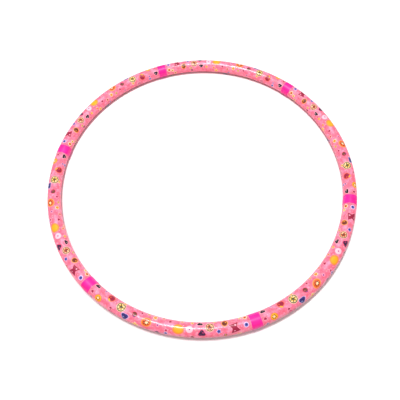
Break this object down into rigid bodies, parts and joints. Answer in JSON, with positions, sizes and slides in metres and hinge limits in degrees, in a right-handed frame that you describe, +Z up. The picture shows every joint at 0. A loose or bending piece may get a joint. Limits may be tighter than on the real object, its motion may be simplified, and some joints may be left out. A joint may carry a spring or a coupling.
{
  "type": "rhythmic gymnastics hoop",
  "caption": "Round play hoop for rhythmic gymnastics: a plastic tube closed over an inner plug, wrapped in printed pink film with hot-pink bands.",
  "frame": {"origin": "centre of the hoop on the floor that it lies on", "axes": "+Z up along the hoop's axis; +X towards the band that covers the joint"},
  "size_m": [0.6, 0.5994, 0.025],
  "materials": {
    "tube": "smooth extruded polyethylene, pink",
    "plug": "moulded polyethylene, natural white",
    "staples": "zinc-plated steel wire",
    "film": "glossy printed film, pink with small fruit, flower and star motifs",
    "tape": "glossy hot-pink tape"
  },
  "bodies": {
    "root": {"hoop_tube": "tube", "joint_plug": "plug", "staple_left": "staples", "staple_right": "staples", "sleeve_1": "film", "sleeve_2": "film", "sleeve_3": "film", "sleeve_4": "film", "sleeve_5": "film", "sleeve_6": "film", "band_1": "tape", "band_2": "tape", "band_3": "tape", "band_4": "tape", "band_5": "tape", "band_6": "tape"}
  },
  "joints": []
}
